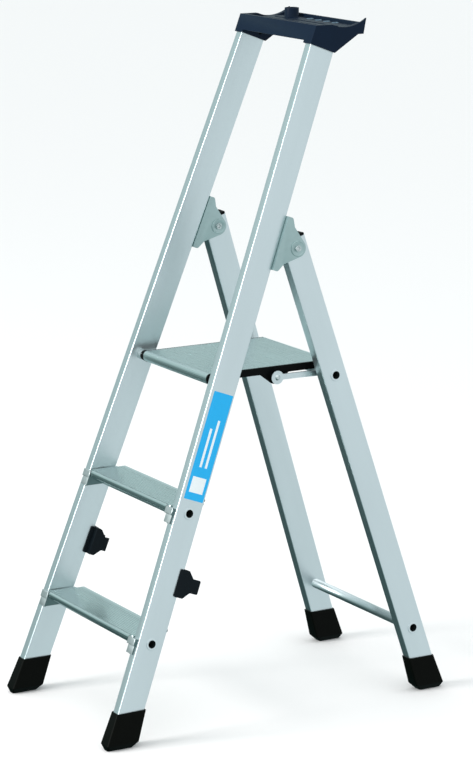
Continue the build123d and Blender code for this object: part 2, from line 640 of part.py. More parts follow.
with BuildPart() as tool_tray:
    with BuildSketch(Plane.XY.offset(DECK_LOW)):
        corner_rectangle(0, TRAY_HALF, TRAY_FRONT_Y, TRAY_REAR_Y - TRAY_REAR_LEAN)
    extrude(amount=TRAY_TOP - DECK_LOW)
    with BuildSketch(across(TRAY_REAR_Y, TRAY_TOP)):
        with BuildLine():
            Polyline((-TRAY_REAR_LEAN, -TRAY_REAR_WALL), (0, 0), (-TRAY_RIM, 0), (-TRAY_RIM, -TRAY_RECESS),
                     (-TRAY_REAR_LEAN - TRAY_WALL, -TRAY_REAR_WALL), close=True)
        make_face()
    extrude(amount=TRAY_HALF)
    for x in (TRAY_HALF - TRAY_WALL, CHEEK_X):
        with BuildSketch(across(0, 0, x)):
            tray_side()
        extrude(amount=TRAY_WALL)
    with BuildSketch(FRONT_FACE.offset(LOOSE)):
        corner_rectangle(0, TRAY_HALF, STILE_END - TRAY_FRONT_L, TRAY_TOP / C)
        corner_rectangle(CHEEK_X, TRAY_HALF, TRAY_SOCKET_A, STILE_END - TRAY_FRONT_L)
    extrude(amount=TRAY_WALL)
    with BuildSketch(Plane.XY.offset(WALL_LOW)):
        corner_rectangle((TRAY_HALF - TRAY_RIB_T) / 2, (TRAY_HALF + TRAY_RIB_T) / 2,
                         TRAY_FRONT_Y + TRAY_WALL, TRAY_REAR_Y - TRAY_HEEL)
    extrude(amount=TRAY_REAR_WALL - TRAY_RECESS)
    split(bisect_by=Plane.XY.offset(TRAY_TOP), keep=Keep.BOTTOM)
    with BuildSketch(Plane.XY.offset(DECK_TOP)):
        corner_rectangle(0, TRAY_HALF - TRAY_SIDE_RIM, TRAY_FRONT_Y + TRAY_RIM, TRAY_REAR_Y - TRAY_RIM)
    extrude(amount=TRAY_RECESS, mode=Mode.SUBTRACT)
    with BuildSketch(across(TRAY_REAR_Y, TRAY_TOP, TRAY_HALF - TRAY_HOOK_W)):
        with BuildLine():
            Polyline((-TRAY_HOOK_L, -TRAY_RECESS), (-TRAY_HOOK_L, 0), (-TRAY_HOOK_L / 2, TRAY_HOOK_H / 2),
                     (-TRAY_HOOK_TIP, TRAY_HOOK_H), (TRAY_HOOK_BACK, TRAY_HOOK_H), (0, 0),
                     (-TRAY_HOOK_TIP, -TRAY_RECESS), close=True)
        make_face()
    extrude(amount=TRAY_HOOK_W)
    with BuildSketch(across(TRAY_REAR_Y - SCOOP_FROM_REAR, TRAY_TOP - SCOOP_DEPTH, TRAY_HALF - SCOOP_IN)):
        with Locations((0, SCOOP_R)):
            Circle(SCOOP_R)
    extrude(amount=2 * SCOOP_IN, mode=Mode.SUBTRACT)
    for screw_place in TRAY_SCREWS:
        pin_hole(screw_place, 2 * TRAY_WALL)
    mirror(about=Plane.YZ)
    with BuildSketch(Plane.XY.offset(DECK_LOW)):
        with Locations((CUP_X, CUP_Y)):
            Circle(CUP_R)
    extrude(amount=TRAY_TOP + CUP_H - DECK_LOW)
    with BuildSketch(Plane.XY.offset(DECK_LOW)):
        with Locations((CUP_X, CUP_Y)):
            Circle(CUP_BORE_R)
        with Locations(*TOOL_HOLES):
            Circle(TOOL_HOLE_R)
    extrude(amount=TRAY_TOP + CUP_H - DECK_LOW, mode=Mode.SUBTRACT)

with BuildPart() as tray_screws:
    for screw_place in TRAY_SCREWS:
        headed_pin(screw_place, SMALL_HEAD_R, SMALL_HEAD_H, SHANK_R, SHANK_L)
    mirror(about=Plane.YZ)

# ---------------------------------------------------------------- platform pivots
PIN_START = PLATFORM_HALF - PIVOT_IN

with BuildPart() as platform_pin_right:
    with BuildSketch(across(PIVOT_Y, PIVOT_Z, PIN_START)):
        Circle(PLATFORM_PIN_R)
    extrude(amount=PIVOT_FACE_X + WALL - PIN_START)
    with BuildSketch(seat_on(STILE_INNER.offset(WALL), PIVOT_Y, PIVOT_Z)):
        Circle(PIVOT_HEAD_R)
    extrude(amount=PIVOT_HEAD_T)
platform_pin_left = mirrored(platform_pin_right)

with BuildPart() as platform_bush_right:
    with BuildSketch(across(PIVOT_Y, PIVOT_Z, PLATFORM_HALF + AIR)):
        Circle(BUSH_R)
        Circle(PLATFORM_PIN_R + FIT, mode=Mode.SUBTRACT)
    extrude(amount=PLATFORM_GAP + BUSH_R)
    split(bisect_by=STILE_INNER, keep=Keep.BOTTOM)
platform_bush_left = mirrored(platform_bush_right)

# ---------------------------------------------------------------- platform
platform_depth = PLATFORM_REAR - PLATFORM_FRONT
DECK_HALF = PLATFORM_HALF - PLATFORM_SIDE_T

with BuildPart() as platform_deck:
    with BuildSketch(across(PLATFORM_FRONT, PLATFORM_TOP)):
        with Locations((PLATFORM_PIVOT_DROP, -PLATFORM_NOSE_H / 2)):
            RectangleRounded(2 * PLATFORM_PIVOT_DROP, PLATFORM_NOSE_H, PLATFORM_NOSE_R)
        corner_rectangle(PLATFORM_PIVOT_DROP, platform_depth, -DECK_T, 0)
        for place in DECK_WEB_PLACES:
            corner_rectangle(place * platform_depth - DECK_WEB_T, place * platform_depth, -DECK_WEB_H, 0)
        grooves(PLATFORM_NOSE_R, platform_depth)
        with Locations((PLATFORM_PIVOT_DROP, -PLATFORM_PIVOT_DROP)):
            Circle(PLATFORM_PIN_R + FIT, mode=Mode.SUBTRACT)
    extrude(amount=DECK_HALF, both=True)

SIDE_LOW = PLATFORM_TOP - PLATFORM_SIDE_H
lobe_start = (LINK_Y - LOBE_SPREAD, SIDE_LOW)
lobe_end = (LINK_Y + LOBE_SPREAD, SIDE_LOW)

with BuildPart() as platform_side_right:
    with BuildSketch(across(0, 0, DECK_HALF)):
        corner_rectangle(PIVOT_Y, PLATFORM_REAR, SIDE_LOW, PLATFORM_TOP - SIDE_BELOW_TOP)
        with BuildLine():
            Polyline(lobe_start, tangent_point((LINK_Y, LINK_Z), LOBE_R, lobe_start, 1), (LINK_Y, LINK_Z),
                     tangent_point((LINK_Y, LINK_Z), LOBE_R, lobe_end, -1), lobe_end, close=True)
        make_face()
        with Locations((LINK_Y, LINK_Z)):
            Circle(LOBE_R)
        with Locations((PIVOT_Y, PIVOT_Z)):
            Circle(PLATFORM_PIVOT_DROP - AIR)
            Circle(PLATFORM_PIN_R + FIT, mode=Mode.SUBTRACT)
        with Locations((UPPER_TUBE_Y, UPPER_TUBE_Z)):
            Circle(TUBE_R + AIR, mode=Mode.SUBTRACT)
    extrude(amount=PLATFORM_SIDE_T)
platform_side_left = mirrored(platform_side_right)

# ---------------------------------------------------------------- rear frame
LEG_TUBE_END = HINGE_LEG_A + LEG_ABOVE_HINGE - PLUG_T

with BuildPart() as rear_leg_right:
    box_section(LEG_SECTION, LEG_T, LEG_D, -1, LEG_TUBE_END)
    split(bisect_by=Plane.XY.offset(FOOT_GAP), keep=Keep.TOP)
    cross_bore(HINGE_Y, HINGE_Z, HINGE_PIN_R + HINGE_BUSH_WALL)
    cross_bore(UPPER_TUBE_Y, UPPER_TUBE_Z, TUBE_R + FIT)
    cross_bore(LOWER_TUBE_Y, LOWER_TUBE_Z, TUBE_R + FIT)
rear_leg_left = mirrored(rear_leg_right)

with BuildPart() as leg_plug_right:
    with BuildSketch(LEG_SECTION.offset(LEG_TUBE_END)):
        with Locations((-LEG_T / 2, -LEG_D / 2)):
            RectangleRounded(LEG_T, LEG_D, EDGE_R)
    extrude(amount=PLUG_T)
    fillet(leg_plug_right.faces().sort_by(Axis.Z)[-1].edges(), PLUG_T * 0.4)
    with BuildSketch(LEG_SECTION.offset(LEG_TUBE_END)):
        with Locations((-LEG_T / 2, -LEG_D / 2)):
            RectangleRounded(LEG_T - 2 * WALL - 2 * LOOSE, LEG_D - 2 * WALL - 2 * LOOSE, INNER_EDGE_R + LOOSE)
            Rectangle(LEG_T - 4 * WALL, LEG_D - 4 * WALL, mode=Mode.SUBTRACT)
    extrude(amount=-PLUG_SPIGOT)
leg_plug_left = mirrored(leg_plug_right)

with BuildPart() as hinge_bushes:
    with BuildSketch(across(HINGE_Y, HINGE_Z, LEG_INNER_X - LEG_T)):
        Circle(HINGE_PIN_R + HINGE_BUSH_WALL)
        Circle(HINGE_PIN_R + FIT, mode=Mode.SUBTRACT)
    extrude(amount=3 * LEG_T)
    split(bisect_by=LEG_OUTER, keep=Keep.BOTTOM)
    split(bisect_by=LEG_INNER, keep=Keep.TOP)
    mirror(about=Plane.YZ)

cross_tube_upper = flanged_tube(UPPER_TUBE_Y, UPPER_TUBE_Z, LEG_OUTER)
cross_tube_lower = flanged_tube(LOWER_TUBE_Y, LOWER_TUBE_Z, LEG_OUTER)

collar_r = TUBE_R + COLLAR_WALL
collar_end = face_x(LEG_INNER, UPPER_TUBE_Y, UPPER_TUBE_Z) - AIR - collar_r * LEG_SLOPE

with BuildPart() as link_collars:
    for start, end in ((LINK_INNER_X - AIR - COLLAR_L, LINK_INNER_X - AIR), (LINK_OUTER_X + AIR, collar_end)):
        with BuildSketch(across(UPPER_TUBE_Y, UPPER_TUBE_Z, start)):
            Circle(collar_r)
            Circle(TUBE_R + FIT, mode=Mode.SUBTRACT)
        extrude(amount=end - start)
    mirror(about=Plane.YZ)

# ---------------------------------------------------------------- links
link_turn = atan2(UPPER_TUBE_Z - LINK_Z, UPPER_TUBE_Y - LINK_Y)
LINK_LENGTH = hypot(UPPER_TUBE_Z - LINK_Z, UPPER_TUBE_Y - LINK_Y)
spacer_start = PLATFORM_HALF + AIR
washer_face = LINK_OUTER_X + WASHER_T

with BuildPart() as link_right:
    with BuildSketch(Plane(origin=(LINK_INNER_X, LINK_Y, LINK_Z), x_dir=(0, cos(link_turn), sin(link_turn)),
                           z_dir=(1, 0, 0))):
        corner_rectangle(0, LINK_LENGTH, -LINK_W / 2, LINK_W / 2)
        Circle(LINK_HEAD_R)
        with Locations((LINK_LENGTH, 0)):
            Circle(TUBE_R + LINK_EYE_WALL)
            Circle(TUBE_R + FIT, mode=Mode.SUBTRACT)
        Circle(SHANK_R + FIT, mode=Mode.SUBTRACT)
    extrude(amount=LINK_T)
link_left = mirrored(link_right)

with BuildPart() as link_washers:
    for start, end, radius in ((LINK_OUTER_X, washer_face, LINK_WASHER_R),
                               (spacer_start, LINK_INNER_X, LINK_SPACER_R)):
        with BuildSketch(across(LINK_Y, LINK_Z, start)):
            Circle(radius)
            Circle(SHANK_R + FIT, mode=Mode.SUBTRACT)
        extrude(amount=end - start)
    mirror(about=Plane.YZ)

with BuildPart() as link_rivets:
    headed_pin(across(LINK_Y, LINK_Z, washer_face), LINK_RIVET_HEAD_R, SMALL_HEAD_H, SHANK_R,
               washer_face - spacer_start)
    mirror(about=Plane.YZ)

# ---------------------------------------------------------------- write the pieces
PIECES = {
    "stile_left": stile_left, "stile_right": stile_right,
    "tread_lower": tread_lower, "tread_upper": tread_upper,
    "tread_brackets_lower": tread_brackets_lower, "tread_brackets_upper": tread_brackets_upper,
    "tread_tube_lower": tread_tube_lower, "tread_tube_upper": tread_tube_upper,
    "tread_rivets": tread_rivets,
    "hinge_bracket_left": hinge_bracket_left, "hinge_bracket_right": hinge_bracket_right,
    "hinge_bracket_rivets": hinge_bracket_rivets, "hinge_washers": hinge_washers,
    "hinge_pin_left": hinge_pin_left, "hinge_pin_right": hinge_pin_right,
    "transport_clip_left": transport_clip_left, "transport_clip_right": transport_clip_right,
    "side_label": side_label,
    "front_boot_left": front_boot_left, "front_boot_right": front_boot_right,
    "tool_tray": tool_tray, "tray_screws": tray_screws,
    "platform_pin_left": platform_pin_left, "platform_pin_right": platform_pin_right,
    "platform_bush_left": platform_bush_left, "platform_bush_right": platform_bush_right,
    "platform_deck": platform_deck,
    "platform_side_left": platform_side_left, "platform_side_right": platform_side_right,
    "rear_leg_left": rear_leg_left, "rear_leg_right": rear_leg_right,
    "leg_plug_left": leg_plug_left, "leg_plug_right": leg_plug_right,
    "hinge_bushes": hinge_bushes,
    "cross_tube_upper": cross_tube_upper, "cross_tube_lower": cross_tube_lower,
    "rear_boot_left": rear_boot_left, "rear_boot_right": rear_boot_right,
    "link_collars": link_collars,
    "link_left": link_left, "link_right": link_right,
    "link_washers": link_washers, "link_rivets": link_rivets,
}
for name, piece in PIECES.items():
    piece.part.label = name
    export_step(piece.part, f"parts/{name}.step")
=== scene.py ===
"""Finishes and fine pieces for a folding platform step ladder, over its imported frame."""
import json
from math import cos, pi, radians, sin, tan

import bmesh
import bpy
from bpy.props import FloatProperty, FloatVectorProperty, IntProperty, PointerProperty
from mathutils import Matrix, Vector


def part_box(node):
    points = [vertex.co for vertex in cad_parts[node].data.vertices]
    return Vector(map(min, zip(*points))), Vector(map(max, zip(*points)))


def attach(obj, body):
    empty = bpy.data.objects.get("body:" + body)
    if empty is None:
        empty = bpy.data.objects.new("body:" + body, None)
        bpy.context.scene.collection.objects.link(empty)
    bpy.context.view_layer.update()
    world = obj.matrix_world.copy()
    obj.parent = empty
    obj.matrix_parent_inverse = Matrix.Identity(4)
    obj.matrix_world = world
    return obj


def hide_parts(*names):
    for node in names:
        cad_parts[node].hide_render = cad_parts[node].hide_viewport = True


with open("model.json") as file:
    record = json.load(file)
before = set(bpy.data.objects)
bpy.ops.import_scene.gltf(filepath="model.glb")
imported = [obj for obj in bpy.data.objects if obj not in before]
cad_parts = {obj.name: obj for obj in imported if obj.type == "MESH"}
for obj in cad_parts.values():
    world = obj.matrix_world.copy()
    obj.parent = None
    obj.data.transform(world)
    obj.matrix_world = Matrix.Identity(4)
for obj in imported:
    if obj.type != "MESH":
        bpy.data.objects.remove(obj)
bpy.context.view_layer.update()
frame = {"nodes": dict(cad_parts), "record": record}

bl_info = {
    "name": "Platform step ladder",
    "version": (1, 0, 0),
    "blender": (4, 5, 0),
    "location": "View3D > Sidebar > Ladder",
    "description": "Builds the visible pieces of a folding platform step ladder",
    "category": "Object",
}

MM = 0.001
STILE_LEAN = radians(20.58)
STILE_SPLAY = radians(3.02)
LEG_LEAN = radians(17.98)
LEG_SPLAY = radians(2.28)
LEG_MIDDLE = 148 * MM
WASHER_T = 1.4 * MM
COLLAR_L = 11 * MM
EASED_LENGTH = 4 * MM
WELD = 0.005 * MM


# ---------------------------------------------------------------- colours and nodes
def linear(hex_colour):
    """An sRGB hex colour as a linear RGBA value."""
    shares = [int(hex_colour[i:i + 2], 16) / 255 for i in (1, 3, 5)]
    return tuple(v / 12.92 if v <= 0.04045 else ((v + 0.055) / 1.055) ** 2.4 for v in shares) + (1.0,)


def shade(colour, share):
    """The same colour, darker."""
    return tuple(channel * share for channel in colour[:3]) + (1.0,)


def add_node(tree, kind, inputs, **settings):
    """Adds a shader node with its settings, and fills or links its inputs."""
    node = tree.nodes.new("ShaderNode" + kind)
    for name, value in settings.items():
        setattr(node, name, value)
    for key, value in inputs.items():
        if isinstance(value, bpy.types.NodeSocket):
            tree.links.new(value, node.inputs[key])
        else:
            node.inputs[key].default_value = value
    return node


def blank_material(name):
    """An empty node material, its tree and its object coordinates."""
    material = bpy.data.materials.new(name)
    material.use_nodes = True
    tree = material.node_tree
    tree.nodes.clear()
    return material, tree, add_node(tree, "TexCoord", {}).outputs["Object"]


# ---------------------------------------------------------------- materials
def anodised_aluminium(name, colour, along, roughness):
    """Extruded aluminium, clear anodised: satin, with faint die lines drawn out along the section.

    The die lines are drawn 1.4 mm apart, coarser than real ones, so that they show.
    """
    material, tree, place = blank_material(name)
    turn = Vector((0, 0, 1)).rotation_difference(Vector(along)).to_euler()
    lines_place = add_node(tree, "Mapping", {"Vector": place, "Rotation": turn,
                                             "Scale": (1.4 * MM, 1.4 * MM, 220 * MM)}, vector_type="TEXTURE")
    cloud_place = add_node(tree, "Mapping", {"Vector": place, "Rotation": turn,
                                             "Scale": (45 * MM, 45 * MM, 240 * MM)}, vector_type="TEXTURE")
    lines = add_node(tree, "TexNoise", {"Vector": lines_place.outputs["Vector"], "Scale": 1.0, "Detail": 3.0})
    cloud = add_node(tree, "TexNoise", {"Vector": cloud_place.outputs["Vector"], "Scale": 1.0, "Detail": 2.0})
    grain = add_node(tree, "TexNoise", {"Vector": place, "Scale": 1 / (0.35 * MM), "Detail": 2.0})
    tint = add_node(tree, "Mix", {0: cloud.outputs["Fac"], 6: shade(colour, 0.9), 7: tuple(colour)},
                    data_type="RGBA")
    rough = add_node(tree, "MapRange", {"Value": lines.outputs["Fac"], "To Min": roughness - 0.06,
                                        "To Max": roughness + 0.08})
    drawn = add_node(tree, "Bump", {"Height": lines.outputs["Fac"], "Strength": 0.3, "Distance": 0.05 * MM})
    etched = add_node(tree, "Bump", {"Height": grain.outputs["Fac"], "Strength": 0.1,
                                     "Distance": 0.02 * MM, "Normal": drawn.outputs["Normal"]})
    shader = add_node(tree, "BsdfPrincipled", {"Base Color": tint.outputs[2], "Metallic": 1.0,
                                               "Roughness": rough.outputs["Result"],
                                               "Normal": etched.outputs["Normal"]})
    add_node(tree, "OutputMaterial", {"Surface": shader.outputs["BSDF"]})
    return material


def worked_metal(name, colour, roughness):
    """Rolled, turned or cast metal: an even satin, with a fine grain and faint handling marks.

    The grain is drawn 0.5 mm across, coarser than a real one, so that it shows.
    """
    material, tree, place = blank_material(name)
    grain = add_node(tree, "TexNoise", {"Vector": place, "Scale": 1 / (0.5 * MM), "Detail": 3.0})
    patch = add_node(tree, "TexNoise", {"Vector": place, "Scale": 1 / (12 * MM), "Detail": 2.0})
    tint = add_node(tree, "Mix", {0: patch.outputs["Fac"], 6: shade(colour, 0.82), 7: tuple(colour)},
                    data_type="RGBA")
    rough = add_node(tree, "MapRange", {"Value": patch.outputs["Fac"], "To Min": roughness - 0.07,
                                        "To Max": roughness + 0.09})
    bump = add_node(tree, "Bump", {"Height": grain.outputs["Fac"], "Strength": 0.2, "Distance": 0.03 * MM})
    shader = add_node(tree, "BsdfPrincipled", {"Base Color": tint.outputs[2], "Metallic": 1.0,
                                               "Roughness": rough.outputs["Result"],
                                               "Normal": bump.outputs["Normal"]})
    add_node(tree, "OutputMaterial", {"Surface": shader.outputs["BSDF"]})
    return material


def moulded_plastic(name, colour, roughness, sheen):
    """Injection-moulded plastic from a spark-eroded tool: a fine pebble that softens its sheen.

    The pebble is drawn 0.9 mm across, coarser than a real one, so that it shows.
    """
    material, tree, place = blank_material(name)
    pebble = add_node(tree, "TexNoise", {"Vector": place, "Scale": 1 / (0.9 * MM), "Detail": 2.0})
    flow = add_node(tree, "TexNoise", {"Vector": place, "Scale": 1 / (40 * MM), "Detail": 2.0})
    tint = add_node(tree, "Mix", {0: flow.outputs["Fac"], 6: shade(colour, 0.8), 7: tuple(colour)},
                    data_type="RGBA")
    rough = add_node(tree, "MapRange", {"Value": pebble.outputs["Fac"], "To Min": roughness - 0.08,
                                        "To Max": roughness + 0.1})
    bump = add_node(tree, "Bump", {"Height": pebble.outputs["Fac"], "Strength": 0.35, "Distance": 0.06 * MM})
    shader = add_node(tree, "BsdfPrincipled", {"Base Color": tint.outputs[2], "Specular IOR Level": sheen,
                                               "Roughness": rough.outputs["Result"],
                                               "Normal": bump.outputs["Normal"]})
    add_node(tree, "OutputMaterial", {"Surface": shader.outputs["BSDF"]})
    return material


def moulded_rubber(name, colour):
    """Compression-moulded rubber: nearly black and dull, greyed a little by dust in its pores."""
    material, tree, place = blank_material(name)
    pores = add_node(tree, "TexNoise", {"Vector": place, "Scale": 1 / (0.7 * MM), "Detail": 3.0})
    dust = add_node(tree, "TexNoise", {"Vector": place, "Scale": 1 / (11 * MM), "Detail": 4.0})
    tint = add_node(tree, "Mix", {0: dust.outputs["Fac"], 6: shade(colour, 0.5), 7: tuple(colour)},
                    data_type="RGBA")
    rough = add_node(tree, "MapRange", {"Value": dust.outputs["Fac"], "To Min": 0.3, "To Max": 0.46})
    bump = add_node(tree, "Bump", {"Height": pores.outputs["Fac"], "Strength": 0.4, "Distance": 0.1 * MM})
    shader = add_node(tree, "BsdfPrincipled", {"Base Color": tint.outputs[2], "Specular IOR Level": 0.05,
                                               "Roughness": rough.outputs["Result"],
                                               "Normal": bump.outputs["Normal"]})
    add_node(tree, "OutputMaterial", {"Surface": shader.outputs["BSDF"]})
    return material


def printed_film(name, colour):
    """Calendered vinyl film under a clear laminate: flat even colour with a slight orange peel."""
    material, tree, place = blank_material(name)
    peel = add_node(tree, "TexNoise", {"Vector": place, "Scale": 1 / (3 * MM), "Detail": 1.0})
    tint = add_node(tree, "Mix", {0: peel.outputs["Fac"], 6: shade(colour, 0.94), 7: tuple(colour)},
                    data_type="RGBA")
    bump = add_node(tree, "Bump", {"Height": peel.outputs["Fac"], "Strength": 0.15, "Distance": 0.03 * MM})
    shader = add_node(tree, "BsdfPrincipled", {"Base Color": tint.outputs[2], "Roughness": 0.42,
                                               "Specular IOR Level": 0.35, "Normal": bump.outputs["Normal"]})
    add_node(tree, "OutputMaterial", {"Surface": shader.outputs["BSDF"]})
    return material


# ---------------------------------------------------------------- places and shapes
def opening_centre(name):
    """Middle of one of the record's openings."""
    box = next(item["box_m"] for item in frame["record"]["physics"]["openings"] if item["name"] == name)
    return (Vector(box[0]) + Vector(box[1])) / 2


def part_centre(node, low_x, high_x):
    """Middle of the part of a CAD node between two places across the ladder."""
    points = [v.co for v in frame["nodes"][node].data.vertices if low_x < v.co.x < high_x]
    return Vector((min(p[i] for p in points) + max(p[i] for p in points)) / 2 for i in range(3))


def body_of(node):
    """The body that carries a CAD node."""
    return next(name for name, nodes in frame["record"]["behaviour"]["bodies"].items() if node in nodes)


def add_piece(bm, name, body, materials, slot, *nodes):
    """Makes a bmesh into a smooth-shaded piece that rides on a body and stands for CAD nodes."""
    mesh = bpy.data.meshes.new(name)
    bm.to_mesh(mesh)
    bm.free()
    mesh.shade_smooth()
    mesh.set_sharp_from_angle(angle=radians(28))
    for material in materials:
        mesh.materials.append(material)
    piece = bpy.data.objects.new(name, mesh)
    bpy.context.scene.collection.objects.link(piece)
    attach(piece, body)
    if nodes:
        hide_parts(*nodes)
    return piece


def welded_copy(node, edge):
    """A copy of a CAD node with welded corners and whole faces, its long sharp edges eased."""
    bm = bmesh.new()
    bm.from_mesh(frame["nodes"][node].data)
    bmesh.ops.remove_doubles(bm, verts=bm.verts, dist=WELD)
    bmesh.ops.dissolve_limit(bm, angle_limit=radians(0.5), verts=bm.verts, edges=bm.edges)
    if edge:
        sharp = [e for e in bm.edges if len(e.link_faces) == 2 and e.calc_length() > EASED_LENGTH
                 and e.calc_face_angle() > radians(35)]
        bmesh.ops.bevel(bm, geom=sharp, offset=edge, offset_type="OFFSET", segments=2, profile=0.5,
                        affect="EDGES", clamp_overlap=True, material=-1)
    return bm


def refine(node, material, slot, edge=0.0):
    """Stands a finely edged copy in for a CAD node."""
    return add_piece(welded_copy(node, edge), node + "_finish", body_of(node), [material], slot, node)


def turned(profile, centre, axis, steps):
    """A turned form: points of (radius, height) spun about an axis through a centre."""
    bm = bmesh.new()
    verts = [bm.verts.new((radius, 0, height)) for radius, height in profile]
    edges = [bm.edges.new(pair) for pair in zip(verts, verts[1:])]
    bmesh.ops.spin(bm, geom=verts + edges, cent=(0, 0, 0), axis=(0, 0, 1), angle=2 * pi, steps=steps,
                   use_merge=True)
    bmesh.ops.remove_doubles(bm, verts=bm.verts, dist=0.002 * MM)
    bmesh.ops.holes_fill(bm, edges=[e for e in bm.edges if e.is_boundary])
    bmesh.ops.recalc_face_normals(bm, faces=bm.faces)
    turn = Vector((0, 0, 1)).rotation_difference(Vector(axis)).to_matrix().to_4x4()
    bmesh.ops.transform(bm, matrix=Matrix.Translation(centre) @ turn, verts=bm.verts)
    return bm


def slab(centre, across, along, normal, width, length, thickness):
    """A thin flat plate with rounded rim, centred on a place and laid to three directions."""
    bm = bmesh.new()
    bmesh.ops.create_grid(bm, x_segments=1, y_segments=1, size=0.5)
    bmesh.ops.scale(bm, vec=(width, length, 1), verts=bm.verts)
    raised = bmesh.ops.extrude_face_region(bm, geom=bm.faces[:])["geom"]
    corners = [item for item in raised if isinstance(item, bmesh.types.BMVert)]
    bmesh.ops.translate(bm, vec=(0, 0, thickness), verts=corners)
    bmesh.ops.recalc_face_normals(bm, faces=bm.faces)
    top = [e for e in bm.edges if all(v.co.z > thickness / 2 for v in e.verts)]
    bmesh.ops.bevel(bm, geom=top, offset=thickness * 0.4, offset_type="OFFSET", segments=2, profile=0.5,
                    affect="EDGES", clamp_overlap=True, material=-1)
    turn = Matrix((across, along, normal)).transposed().to_4x4()
    bmesh.ops.transform(bm, matrix=Matrix.Translation(centre) @ turn, verts=bm.verts)
    return bm


def joined(parts):
    """One bmesh from several."""
    whole = bmesh.new()
    for part in parts:
        mesh = bpy.data.meshes.new("part")
        part.to_mesh(mesh)
        part.free()
        whole.from_mesh(mesh)
        bpy.data.meshes.remove(mesh)
    return whole


# ---------------------------------------------------------------- settings
class LadderColours(bpy.types.PropertyGroup):
    """Colours of the ladder's finishes."""
    profile: FloatVectorProperty(name="Anodised profile", description="Stiles and rear legs", subtype="COLOR",
                                 size=4, default=linear("#DDE7E9"))
    tread: FloatVectorProperty(name="Treads", description="Treads and platform deck", subtype="COLOR",
                               size=4, default=linear("#D2E2E1"))
    sheet: FloatVectorProperty(name="Brackets", description="Pressed hinge brackets", subtype="COLOR",
                               size=4, default=linear("#B2C8C7"))
    # The plates' colour is darkened as painted shade under the treads.
    bracket: FloatVectorProperty(name="Tread bracket plates", description="Plates under the treads, darkened as painted shade",
                                 subtype="COLOR", size=4, default=linear("#6F8585"))
    steel: FloatVectorProperty(name="Fasteners", description="Zinc-plated pins, rivets and screws",
                               subtype="COLOR", size=4, default=linear("#D4DCDC"))
    navy: FloatVectorProperty(name="Tray", description="Navy moulded tray", subtype="COLOR", size=4,
                              default=linear("#101F31"))
    clip: FloatVectorProperty(name="Clips", description="Transport clips", subtype="COLOR", size=4,
                              default=linear("#0E161B"))
    black: FloatVectorProperty(name="Black plastic", description="Platform sides, bushes and end caps",
                               subtype="COLOR", size=4, default=linear("#060808"))
    rubber: FloatVectorProperty(name="Boots", description="Rubber of the boots", subtype="COLOR", size=4,
                                default=linear("#070906"))
    film: FloatVectorProperty(name="Label", description="Blue of the label", subtype="COLOR", size=4,
                              default=linear("#12ACE9"))
    ink: FloatVectorProperty(name="Label print", description="White print on the label", subtype="COLOR",
                             size=4, default=linear("#E9F0F2"))


class LadderSizes(bpy.types.PropertyGroup):
    """Sizes of the details that the pieces are finished with."""
    profile_sheen: FloatProperty(name="Profile roughness", description="Roughness of the anodised sections",
                                 default=0.34, min=0, max=1, subtype="FACTOR")
    boot_edge: FloatProperty(name="Boot edges", description="Rounding of the boots' edges",
                             default=1.6 * MM, unit="LENGTH")
    plastic_edge: FloatProperty(name="Moulded edges", description="Rounding of the tray's and clips' edges",
                                default=0.8 * MM, unit="LENGTH")
    sheet_edge: FloatProperty(name="Sheet edges", description="Rounding of the pressed brackets' edges",
                              default=0.4 * MM, unit="LENGTH")
    ridge: FloatProperty(name="Tray ridges", description="Width of the ridges on the tray's deck",
                         default=2.4 * MM, unit="LENGTH")
    steps: IntProperty(name="Round steps", description="Facets round a turned piece", default=48, min=12)


# ---------------------------------------------------------------- operators
class LADDER_OT_profiles(bpy.types.Operator):
    """Finish the box-section stiles and rear legs"""
    bl_idname = "ladder.profiles"
    bl_label = "Stiles and rear legs"

    def execute(self, context):
        colours, sizes = context.scene.ladder_colours, context.scene.ladder_sizes
        for side, inwards in (("left", 1), ("right", -1)):
            stile_way = (inwards * tan(STILE_SPLAY), sin(STILE_LEAN), cos(STILE_LEAN))
            leg_way = (inwards * tan(LEG_SPLAY), -sin(LEG_LEAN), cos(LEG_LEAN))
            for node, way in ((f"stile_{side}", stile_way), (f"rear_leg_{side}", leg_way)):
                metal = anodised_aluminium(f"anodised extruded aluminium {node}", colours.profile, way,
                                           sizes.profile_sheen)
                refine(node, metal, "anodised_profile")
        return {"FINISHED"}


class LADDER_OT_treads(bpy.types.Operator):
    """Finish the grooved treads, their end brackets and rivets"""
    bl_idname = "ladder.treads"
    bl_label = "Treads"

    def execute(self, context):
        colours, sizes = context.scene.ladder_colours, context.scene.ladder_sizes
        ribbed = anodised_aluminium("ribbed extruded aluminium", colours.tread, (1, 0, 0), 0.24)
        # The caps take a brightened copy of the die-cast metal as painted highlight, and the plates take a
        # darkened copy as painted shade under the treads.
        cap = worked_metal("die-cast bracket caps with painted highlight", shade(colours.steel, 0.86), 0.42)
        plate = worked_metal("die-cast bracket plates with painted shade", colours.bracket, 0.45)
        zinc = worked_metal("zinc-plated steel tread rivets", shade(colours.steel, 0.45), 0.4)
        for node in ("tread_lower", "tread_upper"):
            refine(node, ribbed, "tread_aluminium")
        for node in ("tread_brackets_lower", "tread_brackets_upper"):
            piece = refine(node, cap, "sheet_aluminium", sizes.sheet_edge)
            piece.data.materials.append(plate)
            # Faces facing across the ladder take the darker plate copy (painted shade under the treads), and
            # the rest take the brighter cap copy (painted highlight).
            for face in piece.data.polygons:
                face.material_index = int(abs(face.normal.x) > 0.8)
        refine("tread_rivets", zinc, "zinc_steel")
        return {"FINISHED"}


